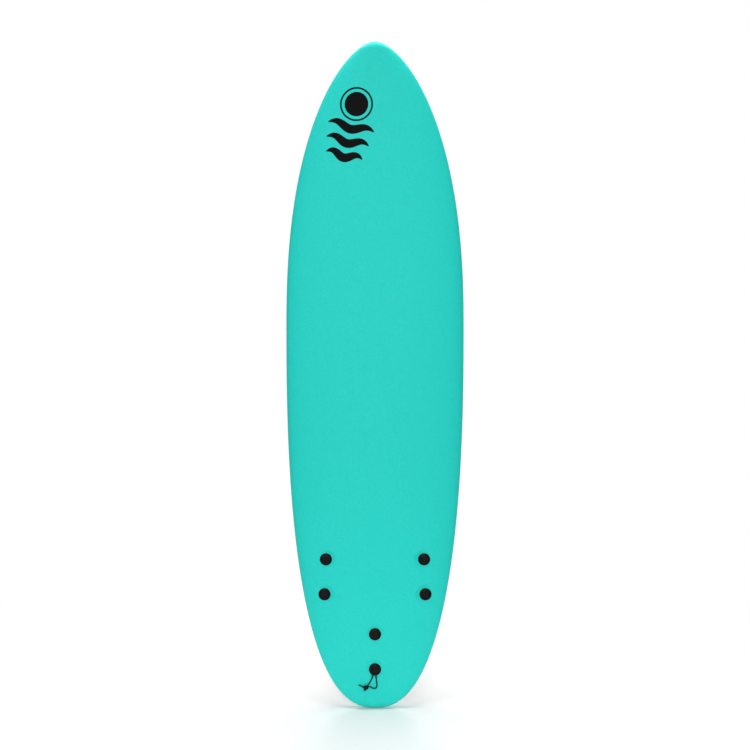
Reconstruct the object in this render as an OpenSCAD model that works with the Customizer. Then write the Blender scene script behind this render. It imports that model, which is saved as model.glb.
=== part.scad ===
// Soft-top surfboard with three bolt-through fins and a loop of leash string.
// The board stands nose up: +Z runs from tail to nose, -Y faces out of the deck, +X is to the
// right of a person looking at the deck. The origin is the lowest point of the tail.
// Every sub-part is drawn lying down first (x across, y from tail to nose, z up out of the deck,
// z = 0 at the flat middle of the bottom) and is then stood up by upright().

/* [Board] */
// Length from tail tip to nose tip
board_l = 2134; // [1900:1:2450]
// Greatest width
board_w = 580; // [520:1:620]
// Greatest thickness
board_t = 84; // [76:1:92]
// Height of the nose tip above the flat middle of the bottom
nose_rocker = 100; // [60:1:140]
// Height of the tail tip above the flat middle of the bottom
tail_rocker = 50; // [30:1:70]
// Widest point, as a share of the length from the tail
wide_at = 0.58; // [0.52:0.01:0.62]

/* [Skins] */
// Thickness of the soft foam skin on deck and rails
deck_skin_t = 5; // [4:0.5:6]
// Thickness of the slick plastic skin on the bottom
bottom_skin_t = 2; // [1.5:0.5:3]
// How far the rail is tucked in at the bottom edge
rail_tuck = 8; // [6:0.5:10]
// Width of the deck foam that wraps under the bottom edge
rail_wrap = 6; // [6:0.5:12]

/* [Stringers] */
// Distance of each stringer from the centre line
stringer_x = 75; // [60:1:90]
// Thickness of a stringer
stringer_t = 4; // [3:0.5:6]

/* [Fins] */
// Distance between the two fixing posts of a fin
post_pitch = 113; // [105:1:118]
// Distance from the tail tip to the middle of the centre fin's posts
centre_fin_y = 186; // [180:1:200]
// Distance from the tail tip to the middle of a side fin's posts
side_fin_y = 424.5; // [410:0.5:440]
// Distance of a side fin's middle from the centre line
side_fin_x = 160.5; // [150:0.5:165]
// Outward lean of a side fin
side_fin_cant = 7; // [3:0.5:9]
// How far the front of a side fin turns in towards the nose
side_fin_toe = 2.3; // [1:0.1:4]
// Depth of the blade, as a share of its standard depth of 133 mm
fin_depth_scale = 1; // [0.9:0.01:1.05]

/* [Fixings] */
// Diameter of the cup washers on the deck
washer_d = 39.5; // [36:0.5:42]
// Diameter of a fin screw's slotted head
head_d = 27; // [24:0.5:28]
// Diameter of a fin screw's shank
shank_d = 6.35; // [6:0.05:7]

/* [Leash string] */
// Diameter of the string
string_d = 4; // [3:0.1:4.5]

/* [Hidden] */
SIDES = ["left", "centre", "right"];
ENDS = ["front", "rear"];
$fn = 48;
foam_colour = [0.18, 0.84, 0.79];
plastic_colour = [0.05, 0.05, 0.06];

// ---- Hull shape ----
// Exponents of the outline, thickness and rocker curves towards the nose and the tail
nose_plan = [2.35, 1.70];
tail_plan = [2.50, 2.45];
nose_thin = [0.44, 0.33, 2.5];  // share of thickness at the tip, share of length, exponent
tail_thin = [0.40, 0.40, 2.8];
nose_rise = [0.42, 3.0];        // share of length, exponent
tail_rise = [0.40, 2.3];
apex_share = 0.36;              // height of the rail's widest line, as a share of thickness
dome_x = 2.2;                   // exponents of the domed deck's section
dome_z = 2.1;
deck_end_r = 26;                // rounding of the deck where it meets the tips
glue = 0.2;                     // glue line between two layers
stations = 40;
rail_steps = 3;
deck_steps = 7;

wide_y = wide_at * board_l;
tip_z = tail_rocker + board_t * tail_thin[0] * apex_share;

function plan_curve(a, e) = pow(1 - pow(min(1, max(0, a)), e[0]), 1 / e[1]);
function half_w(y) = board_w / 2 * (y < wide_y
    ? plan_curve(1 - y / wide_y, tail_plan)
    : plan_curve((y - wide_y) / (board_l - wide_y), nose_plan));
function past(d, share) = max(0, 1 - d / (share * board_l));
function bottom_z(y) = nose_rocker * pow(past(board_l - y, nose_rise[0]), nose_rise[1])
    + tail_rocker * pow(past(y, tail_rise[0]), tail_rise[1]);
function thin(d, k) = (1 - k[0]) * pow(past(d, k[1]), k[2]);
function thickness(y) = board_t * (1 - thin(y, tail_thin) - thin(board_l - y, nose_thin));
function apex_z(y) = bottom_z(y) + apex_share * thickness(y);
function end_round(y, r) = sqrt(1 - pow(1 - min(1, min(y, board_l - y) / r), 2));
function deck_rise(y) = (thickness(y) * (1 - apex_share)) * end_round(y, deck_end_r);
function deck_z(x, y) = apex_z(y) + deck_rise(y)
    * pow(1 - pow(min(1, abs(x) / half_w(y)), dome_x), 1 / dome_z);
function slope_at(y) = atan((bottom_z(y - 1) - bottom_z(y + 1)) / 2);

// ---- Layers of the hull ----
// Each station i has its own y on each line, so that a line that is set in by d ends d short
// of the tip. x is the same share of the outline all along that line.
function share(i) = (1 - cos(180 * i / stations)) / 2;
function line_y(i, d) = d + share(i) * (board_l - 2 * d);
function line_w(i, d) = half_w(share(i) * board_l) * (1 - 2 * d / board_w);

// A point of the bottom, set in by d from the outline and raised by lift
function bottom_pt(i, d, lift, side) =
    [side * line_w(i, d), line_y(i, d), bottom_z(line_y(i, d)) + lift];

// A point of the tucked rail: a = 0 at the bottom edge, 90 at the widest line
function rail_pt(i, a, d, lift, side) =
    let (in = d + rail_tuck * (1 - sin(a)), y = line_y(i, in), low = bottom_z(y) + lift)
    [side * line_w(i, in), y, low + (apex_z(y) - low) * (1 - cos(a))];

// A point of the domed deck: a = 0 at the widest line, 90 on the centre line
function deck_pt(i, a, d, side) =
    let (y = line_y(i, d))
    let (across = pow(cos(a), 2 / dome_x), up = pow(sin(a), 2 / dome_z))
    [side * line_w(i, d) * across, y, apex_z(y) + max(0.1, deck_rise(y) - d) * up * (i == 0
        || i == stations ? 0 : 1)];

// Half of one station's curve, from the bottom edge up to the centre line of the deck
function half_line(i, d, lift, side) = concat(
    [for (k = [0 : rail_steps - 1]) rail_pt(i, 90 * k / rail_steps, d, lift, side)],
    [for (k = [0 : deck_steps]) deck_pt(i, 90 * k / deck_steps, d, side)]);
function reversed(v) = [for (k = [len(v) - 1 : -1 : 0]) v[k]];
function whole_line(i, d, lift) = concat(half_line(i, d, lift, -1),
    [for (k = [deck_steps + rail_steps - 1 : -1 : 0]) half_line(i, d, lift, 1)[k]]);

// Triangles between neighbouring rows of points, leaving out the ones that have no area
function apart(p, q) = norm(p - q) > 0.0001;
function real_faces(points, faces) = [for (f = faces)
    if (apart(points[f[0]], points[f[1]]) && apart(points[f[1]], points[f[2]])
        && apart(points[f[2]], points[f[0]])) f];
function wall(rows, n) = [for (i = [0 : rows - 2], j = [0 : n - 1])
    let (a = i * n + j, b = i * n + (j + 1) % n)
    each [[a, b, a + n], [b, b + n, a + n]]];

// A closed loft: rows of equal length, joined row to row and along each row's ends
module loft(rows) {
    n = len(rows[0]);
    points = [for (r = rows) each r];
    polyhedron(points, real_faces(points, wall(len(rows), n)));
}

module upright() {
    translate([0, tip_z, 0]) rotate([90, 0, 0]) children();
}

// ---- Places of the fixings ----
function side_of(name) = name == "left" ? -1 : name == "right" ? 1 : 0;
function fin_y(side) = side == 0 ? centre_fin_y : side_fin_y;
function fin_turn(side) = side * side_fin_toe;
function bolt_xy(side, end) =
    let (reach = (end == "front" ? 1 : -1) * post_pitch / 2)
    [side * side_fin_x - sin(fin_turn(side)) * reach, fin_y(side) + cos(fin_turn(side)) * reach];
seat_depth = 2.6;   // how far a washer is pulled down into the deck foam
washer_rim = 3.2;   // height of a washer's rim
sleeve_d = 16;
sleeve_bore = 12.4;
hub_l = 6;          // washer's hub, which centres it in the sleeve
hub_d = 12;
seat_gap = 0.1;
thread_l = 15;      // length of screw held by an insert
post_d = 12;
post_l = 24;
insert_d = 9;
function seat_z(p) = deck_z(p[0], p[1]) - seat_depth;
function fin_plane_z(side, y) = bottom_z(fin_y(side)) - tan(slope_at(fin_y(side)))
    * (y - fin_y(side)) - seat_gap;

module at_bolt(side, end) {
    p = bolt_xy(side, end);
    translate([p[0], p[1], seat_z(p)]) children();
}

module bolt_holes(d) {
    for (s = [-1 : 1], e = ENDS) {
        p = bolt_xy(s, e);
        translate([p[0], p[1], -20]) cylinder(d = d, h = 200);
    }
}

// Holes, washer recesses and string groove, which go through the skin into the foam
module fixing_cuts() {
    bolt_holes(sleeve_d + 2 * glue);
    for (s = [-1 : 1], e = ENDS)
        at_bolt(s, e) cylinder(d = washer_d + 1, h = 30);
    string_groove();
}

// ---- Board ----
core_in = deck_skin_t + 2 * glue;  // the glue line is thicker on the curved side
core_low = bottom_skin_t + glue;
stringer_from = 60;
stringer_to = board_l - 90;

// Side view of a stringer, which fills the full height of the core
module stringer_side() {
    steps = 30;
    ys = [for (k = [0 : steps]) stringer_from + (stringer_to - stringer_from) * k / steps];
    polygon(concat(
        [for (y = ys) [y, bottom_z(y) + core_low]],
        [for (y = reversed(ys)) [y, deck_z(stringer_x, y) - core_in - 0.6]]));
}

module stringer(side) {
    color([0.80, 0.64, 0.42])
        upright()
            translate([side * stringer_x - stringer_t / 2, 0, 0])
                rotate([90, 0, 90])
                    linear_extrude(stringer_t)
                        stringer_side();
}

// The foam blank is cut into three strips, glued to the stringers between them. A strip keeps
// the part of the core between x = lo and x = hi.
function strip_line(i, lo, hi) =
    let (line = whole_line(i, core_in, core_low), last = len(line) - 1)
    let (top = [for (j = [rail_steps : last - rail_steps]) [line[j][0], line[j][2]]])
    let (low_y = line_y(i, core_in + rail_tuck), top_y = line_y(i, core_in))
    [for (j = [0 : last]) let (x = min(hi, max(lo, line[j][0])))
        x == line[j][0] ? line[j]
            : j < rail_steps || j > last - rail_steps ? [x, low_y, bottom_z(low_y) + core_low]
            : [x, top_y, lookup(x, top)]];

// A row shrunk to its own middle, which closes the end of a strip
function row_middle(row) =
    let (middle = [for (p = row) 1] * row / len(row))
    [for (p = row) middle];

module foam_strip(lo, hi) {
    centre = lo == -hi;
    near = centre ? -board_w : min(abs(lo), abs(hi));
    rows = [for (i = [0 : stations])
        if (line_w(i, core_in + rail_tuck) > near + 10) strip_line(i, lo, hi)];
    color([0.95, 0.95, 0.93])
        upright()
            difference() {
                loft(centre ? rows
                    : concat([row_middle(rows[0])], rows, [row_middle(rows[len(rows) - 1])]));
                fixing_cuts();
            }
}

module core(side) {
    gap = stringer_t / 2 + glue;
    foam_strip(side < 0 ? -board_w : side > 0 ? stringer_x + gap : gap - stringer_x,
        side < 0 ? -stringer_x - gap : side > 0 ? board_w : stringer_x - gap);
}

// The deck skin is one sheet: the outer line runs from the wrapped edge under one rail, over
// the deck, to the wrapped edge under the other, and the inner line runs back
module deck_skin() {
    edge = rail_tuck + rail_wrap;
    rows = [for (i = [0 : stations]) concat(
        [bottom_pt(i, edge, 0, -1)], whole_line(i, 0, 0), [bottom_pt(i, edge, 0, 1)],
        [bottom_pt(i, edge, bottom_skin_t, 1)],
        reversed(whole_line(i, deck_skin_t, bottom_skin_t)),
        [bottom_pt(i, edge, bottom_skin_t, -1)])];
    color(foam_colour)
        upright()
            difference() {
                loft(rows);
                fixing_cuts();
            }
}

module bottom_skin() {
    edge = rail_tuck + rail_wrap + glue;
    rows = [for (i = [0 : stations]) [
        bottom_pt(i, edge, 0, -1), bottom_pt(i, edge, 0, 1),
        bottom_pt(i, edge, bottom_skin_t, 1), bottom_pt(i, edge, bottom_skin_t, -1)]];
    color([0.96, 0.96, 0.94])
        upright()
            difference() {
                loft(rows);
                bolt_holes(sleeve_d + 2 * glue);
            }
}

// ---- Fixings ----
// Tube that lines the hole through the board, from the washer's seat to the bottom skin
module sleeve(side, end) {
    p = bolt_xy(side, end);
    low = bottom_z(p[1]) + 1;
    color([0.85, 0.86, 0.84])
        upright()
            translate([p[0], p[1], low])
                difference() {
                    cylinder(d = sleeve_d, h = seat_z(p) - 4.5 - low);
                    translate([0, 0, -1]) cylinder(d = sleeve_bore, h = 200);
                }
}

// Cup washer: a domed rim round a dished recess, with a hub that drops into the sleeve
module washer(side, end) {
    r = washer_d / 2;
    well = head_d / 2 + 0.4;
    hole = shank_d / 2 + 0.2;
    color(plastic_colour)
        upright()
            at_bolt(side, end)
                rotate_extrude()
                    polygon([
                        [hole, -hub_l], [hub_d / 2, -hub_l], [hub_d / 2, 0], [r - 0.8, 0],
                        [r, 0.8], [r - 0.3, 1.9], [r - 1.4, 2.8], [r - 3, washer_rim],
                        [well + 1, washer_rim - 0.2], [well, washer_rim - 0.8],
                        [well, 1.2], [hole, 1.2]
                    ]);
}

head_t = 2.6;
head_up = 1.25;     // underside of the head above the washer's seat
slot_w = 2.4;
slot_depth = 1.6;
slot_turns = [[35, 100], [62, 20], [150, 75]];  // resting angle of each slot, by side and end
function slot_turn(side, end) = slot_turns[side + 1][end == "front" ? 0 : 1];
function insert_z(side, y) = fin_plane_z(side, y) + post_l - thread_l - 1;

// Fin screw: a wide, slightly domed head with a coin slot, on a plain shank
module screw(side, end) {
    p = bolt_xy(side, end);
    shank_l = seat_z(p) + head_up - insert_z(side, p[1]) - 0.5;
    color([0.09, 0.09, 0.10])
        upright()
            at_bolt(side, end)
                translate([0, 0, head_up])
                    difference() {
                        rotate_extrude()
                            polygon([
                                [0, -shank_l], [shank_d / 2 - 0.8, -shank_l],
                                [shank_d / 2, -shank_l + 0.8], [shank_d / 2, 0],
                                [head_d / 2, 0], [head_d / 2, head_t - 1],
                                [head_d / 2 - 1, head_t - 0.3], [head_d / 4, head_t],
                                [0, head_t]
                            ]);
                        rotate([0, 0, slot_turn(side, end)])
                            translate([-20, -slot_w / 2, head_t - slot_depth])
                                cube([40, slot_w, 5]);
                    }
}

module insert(side, end) {
    p = bolt_xy(side, end);
    color([0.78, 0.66, 0.36])
        upright()
            translate([p[0], p[1], insert_z(side, p[1])])
                difference() {
                    cylinder(d = insert_d, h = thread_l);
                    translate([0, 0, -1]) cylinder(d = shank_d + 0.1, h = thread_l + 2);
                }
}

// ---- Fins ----
// Blade outline in the fin's own plane: [forward of the posts' middle, depth below the base]
lead_root = [[69, 0], [40, 62], [-20, 133], [-80, 133]];
lead_tip = [[-80, 133], [-104, 133], [-122, 124], [-122, 113]];
trail_root = [[-63, 0], [-50, 20], [-48, 50], [-80, 77]];
trail_tip = [[-80, 77], [-95, 90], [-122, 100], [-122, 113]];
plate_ends = [-86, 76];
plate_r = 19;
root_t = 9;
tip_t = 3.4;
chord_steps = 12;
blade_steps = 14;
// Rows of the flared base: share of the base plate's shape left, and depth of the plate's row
flare = [[1, 0], [1, 2.2], [0.93, 3.2], [0.55, 5], [0.28, 8], [0.1, 12], [0, 12]];

function bezier(p, t) = pow(1 - t, 3) * p[0] + 3 * t * pow(1 - t, 2) * p[1]
    + 3 * t * t * (1 - t) * p[2] + pow(t, 3) * p[3];
function two_part(a, b, v, k) = v < k ? bezier(a, v / k) : bezier(b, (v - k) / (1 - k));
function foil(s) = pow(1 - pow(abs(2 * s - 1), 2.5), 0.5);
function blade_pt(v, s, side) =
    let (lead = two_part(lead_root, lead_tip, v, 0.8))
    let (trail = two_part(trail_root, trail_tip, v, 0.6))
    let (p = lead + (trail - lead) * s)
    let (half = (root_t + (tip_t - root_t) * v) / 2 * foil(s) * min(1, 6 * (1 - v)))
    [side * half, p[0], -p[1] * fin_depth_scale];
function plate_pt(depth, s, side) =
    let (y = plate_ends[1] + (plate_ends[0] - plate_ends[1]) * s)
    let (in = min(plate_r, plate_ends[1] - y, y - plate_ends[0]))
    [side * sqrt(plate_r * plate_r - pow(plate_r - in, 2)), y, -depth];
function chord_share(k) = (1 - cos(180 * k / chord_steps)) / 2;
function ring(v, keep, depth) = [for (k = [0 : 2 * chord_steps - 1])
    let (side = k < chord_steps ? 1 : -1)
    let (s = chord_share(k < chord_steps ? k : 2 * chord_steps - k))
    blade_pt(v, s, side) * (1 - keep) + plate_pt(depth, s, side) * keep];

// Sideways lean grows with depth, so the plate stays flat on the board
function leaned(p, cant) = [p[0] - p[2] * tan(cant), p[1], p[2]];

module fin_blade(cant) {
    flare_rows = [for (k = [0 : len(flare) - 1]) ring(0.02 * k, flare[k][0], flare[k][1])];
    blade_rows = [for (k = [1 : blade_steps]) ring(0.12 + 0.88 * k / blade_steps, 0, 0)];
    base_row = [for (p = flare_rows[0]) [0, -5, 0]];
    rows = [for (r = concat([base_row], flare_rows, blade_rows)) [for (p = r) leaned(p, cant)]];
    loft(reversed(rows));
}

module fin(side) {
    y = fin_y(side);
    color(plastic_colour)
        upright()
            difference() {
                union() {
                    translate([side * side_fin_x, y, fin_plane_z(side, y)])
                        rotate([0, 0, fin_turn(side)])
                            rotate([-slope_at(y), 0, 0])
                                fin_blade(side * side_fin_cant);
                    for (e = ENDS) {
                        p = bolt_xy(side, e);
                        translate([p[0], p[1], fin_plane_z(side, p[1]) - 1.5])
                            cylinder(d = post_d, h = post_l + 1.5);
                    }
                }
                for (e = ENDS) {
                    p = bolt_xy(side, e);
                    translate([p[0], p[1], insert_z(side, p[1])])
                        cylinder(d = insert_d, h = 60);
                }
            }
}

// ---- Leash string ----
// One string is trapped round the rear centre sleeve and its two strands are knotted together.
// Points are measured from that bolt's axis: [right, towards the nose, above the deck]
string_r = string_d / 2;
sunk = -4.9;
route_a = [[0, 10.4, sunk], [-7.4, 7.4, sunk], [-10.4, 0, sunk], [-9.5, -6, sunk],
    [-8, -13, sunk], [-7, -20.5, sunk], [-8, -25, -1.5], [-10.5, -30, 1.9], [-14, -36.5, 2],
    [-18, -43.5, 2], [-23, -50, 3.2], [-27, -54, 6.4], [-32, -57, 9], [-38, -56, 6],
    [-44, -53, 2.4], [-53, -50, 2.1]];
route_b = [[0, 10.4, sunk], [7.4, 7.4, sunk], [10.4, 0, sunk], [8.5, -6, sunk],
    [5, -13, sunk], [3, -20.5, sunk], [3.2, -25, -1.5], [4, -30, 1.9], [5.5, -40.5, 2],
    [6.5, -49, 2], [5.5, -55.5, 2], [1, -59.8, 2], [-7, -59.3, 2], [-15.5, -55, 2],
    [-22, -54.5, 3.4], [-28, -57, 5.8], [-32, -61.5, 4.6], [-33, -68, 2.1]];
knot_at = [-30.5, -56.5, 7.7];
string_sides = 8;

function on_deck(q) =
    let (b = bolt_xy(0, "rear"))
    [b[0] + q[0], b[1] + q[1], q[2] + deck_z(b[0] + q[0], b[1] + q[1])];
function unit(v) = v / norm(v);
function along(p, k) = unit(p[min(len(p) - 1, k + 1)] - p[max(0, k - 1)]);
// A ring round point k, square to the route, with its first side level with the deck
function string_ring(p, k) =
    let (t = along(p, k), side = unit(cross(t, [0, 0, 1])), up = cross(side, t))
    [for (s = [0 : string_sides - 1]) let (a = 360 * s / string_sides)
        p[k] + string_r * (cos(a) * side + sin(a) * up)];

module string_tube(route) {
    p = [for (q = route) on_deck(q)];
    start = [for (s = [1 : string_sides]) p[0]];
    end = [for (s = [1 : string_sides]) p[len(p) - 1]];
    loft(concat([start], [for (k = [0 : len(p) - 1]) string_ring(p, k)], [end]));
}

// Groove that the string lies in under the washer: a ring round the sleeve and two ramps
module string_groove() {
    b = bolt_xy(0, "rear");
    deck = deck_z(b[0], b[1]);
    cut = string_r + 0.4;
    translate([b[0], b[1], deck + sunk - cut])
        difference() {
            cylinder(r = 10.4 + cut, h = 10);
            translate([0, 0, -1]) cylinder(d = sleeve_d + 2 * glue - 0.02, h = 20);
        }
    for (r = [route_a, route_b]) {
        run = r[5] - r[3];
        translate([b[0] + r[3][0], b[1] + r[3][1], deck + sunk])
            rotate([0, 90, atan2(run[1], run[0])])
                cylinder(r = cut, h = 17);
        ramp = r[7] - r[5];
        translate([b[0] + r[5][0], b[1] + r[5][1], deck + sunk])
            rotate([0, atan2(norm([ramp[0], ramp[1]]), ramp[2]), atan2(ramp[1], ramp[0])])
                cylinder(r = cut, h = 13);
    }
}

module leash_string(route) {
    color(plastic_colour) upright() string_tube(route);
}

module leash_knot() {
    color(plastic_colour)
        upright()
            translate(on_deck(knot_at))
                rotate([0, 0, 30])
                    rotate([0, 90, 0])
                        rotate_extrude()
                            polygon([[0, -8.8], [3.6, -8.4], [6.6, -6.4], [7.6, -2.2],
                                [7.6, 2.2], [6.6, 6.4], [3.6, 8.4], [0, 8.8]]);
}

stringer(-1);  // stringer_left
stringer(1);  // stringer_right
deck_skin();
bottom_skin();
for (s = SIDES) {
    core(side_of(s));
    fin(side_of(s));
    for (e = ENDS) {
        sleeve(side_of(s), e);
        washer(side_of(s), e);
        screw(side_of(s), e);
        insert(side_of(s), e);
    }
}
leash_string(route_a);  // leash_string_a
leash_string(route_b);  // leash_string_b
leash_knot();
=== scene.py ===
import math
import bpy
import numpy as np
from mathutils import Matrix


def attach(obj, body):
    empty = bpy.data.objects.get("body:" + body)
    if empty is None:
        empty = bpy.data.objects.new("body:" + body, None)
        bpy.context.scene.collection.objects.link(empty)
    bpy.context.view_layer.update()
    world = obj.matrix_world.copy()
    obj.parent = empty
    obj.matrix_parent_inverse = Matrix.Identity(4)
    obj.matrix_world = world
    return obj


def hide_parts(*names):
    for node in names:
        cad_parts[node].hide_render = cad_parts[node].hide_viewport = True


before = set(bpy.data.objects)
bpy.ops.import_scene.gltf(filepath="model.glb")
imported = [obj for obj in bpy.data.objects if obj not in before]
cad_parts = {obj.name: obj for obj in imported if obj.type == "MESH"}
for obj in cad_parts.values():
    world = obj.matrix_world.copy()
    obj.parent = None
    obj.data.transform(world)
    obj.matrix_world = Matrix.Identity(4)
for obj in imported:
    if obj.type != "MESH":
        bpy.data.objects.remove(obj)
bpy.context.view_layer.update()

# Every sub-part is designed lying down, as in the CAD: x across, y from tail to nose, z up out
# of the deck, in metres. stand() turns it nose up.
MM = 0.001
LENGTH = 2134 * MM
WIDTH = 580 * MM
THICK = 84 * MM
NOSE_ROCKER = 100 * MM
TAIL_ROCKER = 50 * MM
WIDE_Y = 0.58 * LENGTH
NOSE_PLAN, TAIL_PLAN = (2.35, 1.70), (2.50, 2.45)
NOSE_THIN, TAIL_THIN = (0.44, 0.33, 2.5), (0.40, 0.40, 2.8)
NOSE_RISE, TAIL_RISE = (0.42, 3.0), (0.40, 2.3)
APEX = 0.36
DOME_X, DOME_Z = 2.2, 2.1
END_ROUND = 26 * MM
LEAST_RISE = 0.1 * MM
TIP_Z = TAIL_ROCKER + THICK * TAIL_THIN[0] * APEX
RAIL_TUCK = 8 * MM
RAIL_WRAP = 6 * MM
DECK_SKIN = 5 * MM
BOTTOM_SKIN = 2 * MM
GLUE = 0.2 * MM

# Fins and fixings. The deck's mesh is cut along RIM_R round a bolt, just past the washer.
POST_PITCH = 113 * MM
SIDE_FIN_X = 160.5 * MM
FIN_Y = {-1: 424.5 * MM, 0: 186 * MM, 1: 424.5 * MM}
TOE = math.radians(2.3)
CANT = math.radians(7)
PLATE_GAP = 0.1 * MM
WASHER_R = 19.75 * MM
WASHER_GAP = 0.1 * MM
RIM_R = 20.2 * MM
HEAD_R = 13.5 * MM
SHANK_R = 3.175 * MM
SEAT_DEPTH = 2.6 * MM
HOLE_R = 8.2 * MM
HOLE_SIDES = 40
STRING_R = 2 * MM
SIDES = {"left": -1, "centre": 0, "right": 1}
ENDS = {"front": 1, "rear": -1}


def stand(points):
    p = np.asarray(points, float)
    return np.stack([p[..., 0], TIP_Z - p[..., 2], p[..., 1]], -1)


# ---- Hull shape, the same functions as in the CAD ----
def plan_curve(a, e):
    """Share of the full width, at share a of the way from the widest place to the tip."""
    return (1 - np.clip(a, 0, 1) ** e[0]) ** (1 / e[1])


def half_w(y):
    tail = plan_curve(1 - y / WIDE_Y, TAIL_PLAN)
    nose = plan_curve((y - WIDE_Y) / (LENGTH - WIDE_Y), NOSE_PLAN)
    return WIDTH / 2 * np.where(y < WIDE_Y, tail, nose)


def past(d, share):
    """1 at a tip, and 0 at this share of the length from it or further."""
    return np.maximum(0, 1 - d / (share * LENGTH))


def bottom_z(y):
    return (NOSE_ROCKER * past(LENGTH - y, NOSE_RISE[0]) ** NOSE_RISE[1]
            + TAIL_ROCKER * past(y, TAIL_RISE[0]) ** TAIL_RISE[1])


def thickness(y):
    tail = (1 - TAIL_THIN[0]) * past(y, TAIL_THIN[1]) ** TAIL_THIN[2]
    nose = (1 - NOSE_THIN[0]) * past(LENGTH - y, NOSE_THIN[1]) ** NOSE_THIN[2]
    return THICK * (1 - tail - nose)


def apex_z(y):
    return bottom_z(y) + APEX * thickness(y)


def deck_rise(y):
    ends = np.clip(np.minimum(y, LENGTH - y) / END_ROUND, 0, 1)
    return thickness(y) * (1 - APEX) * np.sqrt(1 - (1 - ends) ** 2)


def dome(u):
    return (1 - np.clip(np.abs(u), 0, 1) ** DOME_X) ** (1 / DOME_Z)


def deck_z(x, y):
    return apex_z(y) + deck_rise(y) * dome(x / half_w(y))


def slope_at(y):
    """Angle of the bottom to the level, positive where it falls towards the nose."""
    return math.atan((bottom_z(y - MM) - bottom_z(y + MM)) / (2 * MM))


def line_y(s, d):
    """Place along the board, at share s of the outline that is inset by d."""
    return d + s * (LENGTH - 2 * d)


def line_w(s, d):
    """Half width of that outline there."""
    return half_w(s * LENGTH) * (1 - 2 * d / WIDTH)


def bolt_xy(side, end):
    reach = end * POST_PITCH / 2
    turn = side * TOE
    return (side * SIDE_FIN_X - math.sin(turn) * reach, FIN_Y[side] + math.cos(turn) * reach)


def seat_z(p):
    """Height of the seat of the washer at bolt p."""
    return float(deck_z(p[0], p[1])) - SEAT_DEPTH


def fin_plane_z(side, y):
    """Height of the plane that a fin's base plate lies on."""
    mid = FIN_Y[side]
    return float(bottom_z(mid)) - math.tan(slope_at(mid)) * (y - mid) - PLATE_GAP


BOLTS = {(s, e): bolt_xy(s, e) for s in SIDES.values() for e in ENDS.values()}


# ---- Camera ----
LENS = 43.3
CAMERA_AT = (0, -2.92, LENGTH / 2 + 0.008)


def place_camera():
    camera = bpy.data.objects.new("camera", bpy.data.cameras.new("camera"))
    bpy.context.scene.collection.objects.link(camera)
    camera.data.lens = LENS
    camera.data.sensor_width = 36
    camera.data.clip_end = 100
    camera.location = CAMERA_AT
    camera.rotation_euler = (math.radians(90), 0, 0)
    bpy.context.scene.camera = camera


# ---- Meshes ----
MERGE_DIGITS = 7  # digits of a metre to which the corners of patches are the same
HOLE_SPECK = 1e-11  # square metres: cut pieces below this are left out
STRIPE_SPECK = 1e-10
CIRCLE_ROOM = 1.01  # share of a radius that covers the corners of a circle's sides


def new_object(name, points, faces):
    mesh = bpy.data.meshes.new(name)
    mesh.from_pydata([tuple(p) for p in points], [], faces)
    piece = bpy.data.objects.new(name, mesh)
    bpy.context.scene.collection.objects.link(piece)
    return piece


def mesh_piece(name, points, faces, materials, body, kinds=None, sharp=35, nodes=()):
    """A piece on a body. Kinds number its faces' materials; nodes are CAD nodes it replaces."""
    piece = new_object(name, points, faces)
    for m in materials:
        piece.data.materials.append(m)
    if kinds is not None:
        piece.data.polygons.foreach_set("material_index", np.asarray(kinds, np.int32))
    piece.data.validate()
    piece.data.shade_smooth()
    piece.data.set_sharp_from_angle(angle=math.radians(sharp))
    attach(piece, body)
    if nodes:
        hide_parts(*nodes)
    return piece


def grid_faces(rows, cols, closed=False, start=0):
    wrap = cols if closed else cols - 1
    return [(start + i * cols + j, start + i * cols + (j + 1) % cols,
             start + (i + 1) * cols + (j + 1) % cols, start + (i + 1) * cols + j)
            for i in range(rows - 1) for j in range(wrap)]


def no_repeats(ids):
    return [a for k, a in enumerate(ids) if a != ids[k - 1]]


def weld(points, faces, digits):
    """Joins points that meet, to so many digits of a metre, and drops what that flattens.

    Gives the points in use, the faces that are left, and their numbers in the old list."""
    keys = [tuple(p) for p in np.round(points, digits).tolist()]
    index, new_points, new_faces, kept = {}, [], [], []
    for number, face in enumerate(faces):
        ids = []
        for k in face:
            if keys[k] not in index:
                index[keys[k]] = len(new_points)
                new_points.append(tuple(points[k]))
            ids.append(index[keys[k]])
        ids = no_repeats(ids)
        if len(ids) > 2:
            new_faces.append(tuple(ids))
            kept.append(number)
    return new_points, new_faces, kept


def keep_side(poly, point, normal):
    """The part of a plane polygon on the side of a line that its normal points to."""
    out = []
    for k, b in enumerate(poly):
        a = poly[k - 1]
        da = (a[0] - point[0]) * normal[0] + (a[1] - point[1]) * normal[1]
        db = (b[0] - point[0]) * normal[0] + (b[1] - point[1]) * normal[1]
        if (da >= 0) != (db >= 0):
            t = da / (da - db)
            out.append((a[0] + (b[0] - a[0]) * t, a[1] + (b[1] - a[1]) * t))
        if db >= 0:
            out.append(b)
    return out


def area(poly):
    return 0.5 * sum(a[0] * b[1] - b[0] * a[1] for a, b in zip(poly[-1:] + poly[:-1], poly))


def split_by_circle(poly, centre, radius):
    """Convex pieces of a convex polygon outside a circle, and what is left inside it."""
    pieces, rest = [], poly
    for k in range(HOLE_SIDES):
        a = 2 * math.pi * (k + 0.5) / HOLE_SIDES
        n = (math.cos(a), math.sin(a))
        edge = (centre[0] + n[0] * radius, centre[1] + n[1] * radius)
        beyond = keep_side(rest, edge, n)
        if len(beyond) > 2 and abs(area(beyond)) > HOLE_SPECK:
            pieces.append(beyond)
        rest = keep_side(rest, edge, (-n[0], -n[1]))
        if len(rest) < 3:
            break
    return pieces, rest


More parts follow.
